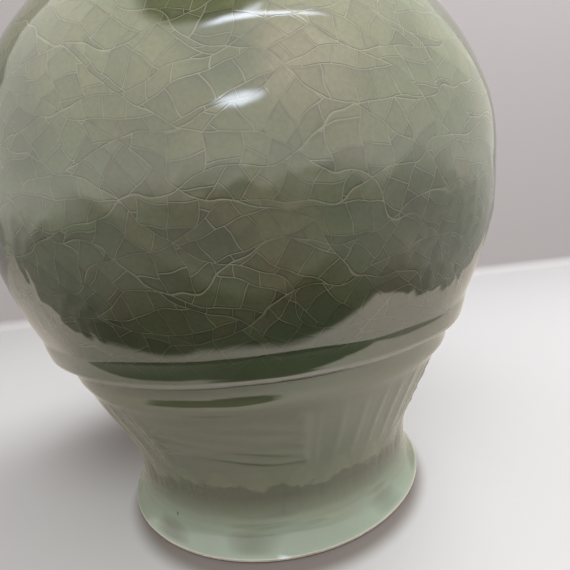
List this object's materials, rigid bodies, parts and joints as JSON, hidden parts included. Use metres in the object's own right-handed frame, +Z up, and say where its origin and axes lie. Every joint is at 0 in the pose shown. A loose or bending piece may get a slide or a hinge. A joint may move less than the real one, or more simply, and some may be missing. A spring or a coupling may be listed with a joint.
{
  "type": "moulded jar",
  "caption": "Free-standing round-bellied celadon jar on a spreading foot, with a ribbed waist, a short neck, a rolled lip and a crackled grey-green glaze over luted stoneware sections.",
  "frame": {"origin": "middle of the foot, on the surface that the jar stands on", "axes": "+Z up along the jar's axis, from the foot to the mouth; X and Y are alike, and the picture looks along +Y"},
  "size_m": [0.2408, 0.2408, 0.288],
  "materials": {
    "stoneware": "bare fired clay, matt",
    "slip": "fired slip, matt",
    "celadon_glaze": "glossy crackled celadon glaze"
  },
  "bodies": {
    "root": {"foot_ring": "stoneware", "foot_lute": "slip", "base_lute": "slip", "base_disc": "stoneware", "foot_skirt": "stoneware", "waist_lute": "slip", "waist_rib": "stoneware", "lower_belly": "stoneware", "belly_lute": "slip", "upper_belly": "stoneware", "shoulder_lute": "slip", "shoulder_dome": "stoneware", "neck_lute": "slip", "neck_collar": "stoneware", "celadon_glaze": "celadon_glaze"}
  },
  "joints": []
}
